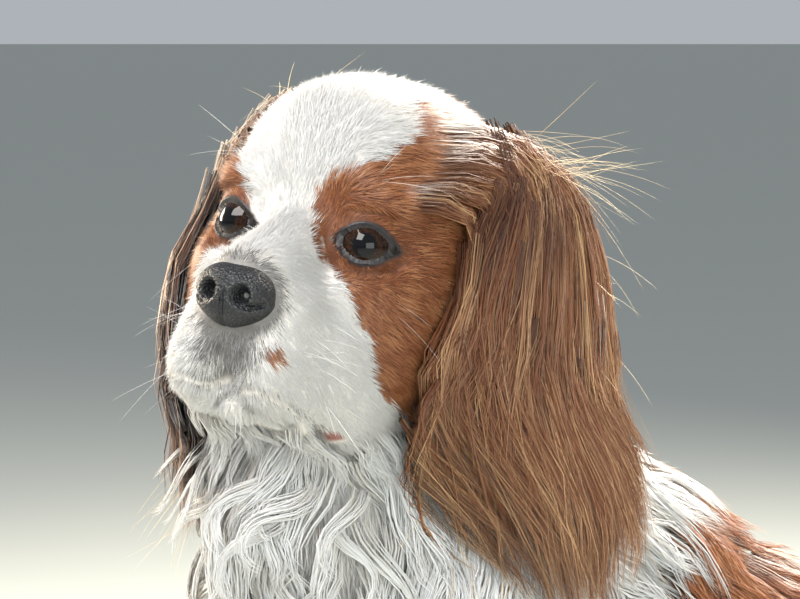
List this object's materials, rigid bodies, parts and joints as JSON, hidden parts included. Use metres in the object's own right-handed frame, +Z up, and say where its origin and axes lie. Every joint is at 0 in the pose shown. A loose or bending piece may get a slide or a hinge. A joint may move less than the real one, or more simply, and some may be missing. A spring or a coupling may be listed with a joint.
{
  "type": "sitting cavalier king charles spaniel figure",
  "caption": "Life-size sitting spaniel with long feathered ears, a chest ruff, feathered legs and a plumed tail, its head turned to its left.",
  "frame": {"origin": "centre of the bounding box, at the level of the floor that the dog sits on", "axes": "+Z up, the dog faces -Y, its left side is towards +X"},
  "size_m": [0.2264, 0.5012, 0.4445],
  "materials": {
    "white_coat": "soft white coat",
    "chestnut_coat": "silky chestnut coat",
    "nose_leather": "moist black nose leather",
    "eye": "dark brown, wet gloss"
  },
  "bodies": {
    "root": {"head": "white_coat", "lower_jaw": "white_coat", "nose": "nose_leather", "eye_left": "eye", "eye_right": "eye", "ear_left": "chestnut_coat", "ear_right": "chestnut_coat", "neck": "white_coat", "chest": "white_coat", "loin": "chestnut_coat", "rump": "white_coat", "tail": "white_coat", "foreleg_left": "white_coat", "foreleg_right": "white_coat", "forepaw_left": "white_coat", "forepaw_right": "white_coat", "hind_leg_left": "white_coat", "hind_leg_right": "white_coat", "hind_paw_left": "white_coat", "hind_paw_right": "white_coat"}
  },
  "joints": []
}
